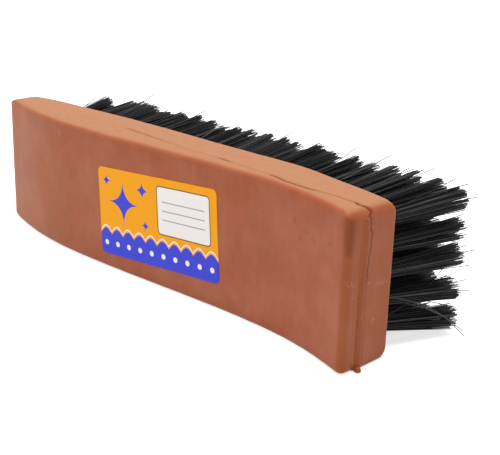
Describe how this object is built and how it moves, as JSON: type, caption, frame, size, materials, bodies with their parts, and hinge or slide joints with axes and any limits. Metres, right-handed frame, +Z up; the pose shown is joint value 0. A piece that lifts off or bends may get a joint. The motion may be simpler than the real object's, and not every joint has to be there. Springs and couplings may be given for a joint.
{
  "type": "shoe brush",
  "caption": "Hand-held shoe brush: a brown moulded back with a scooped finger grip, parted into stock and cover, black bristle tufts held by draw wires, and a paper label on the hand side.",
  "frame": {"origin": "under the middle of the whole brush, on the surface that it stands on with one long side down", "axes": "+X along the brush towards its scooped end, +Y from the hand side to the bristle tips, +Z up across the width"},
  "size_m": [0.1942, 0.0594, 0.0505],
  "materials": {
    "moulded_block": "matte, mottled terracotta brown, straight from the mould",
    "label_paper": "glossy printed paper",
    "draw_wire": "drawn wire",
    "bristle": "black drawn filament, slightly shiny"
  },
  "bodies": {
    "root": {"bristle_stock": "moulded_block", "back_cover": "moulded_block", "label": "label_paper", "draw_wire_1": "draw_wire", "draw_wire_2": "draw_wire", "draw_wire_3": "draw_wire", "draw_wire_4": "draw_wire", "draw_wire_5": "draw_wire", "bristle_bank_1": "bristle", "bristle_bank_2": "bristle", "bristle_bank_3": "bristle", "bristle_bank_4": "bristle"}
  },
  "joints": []
}
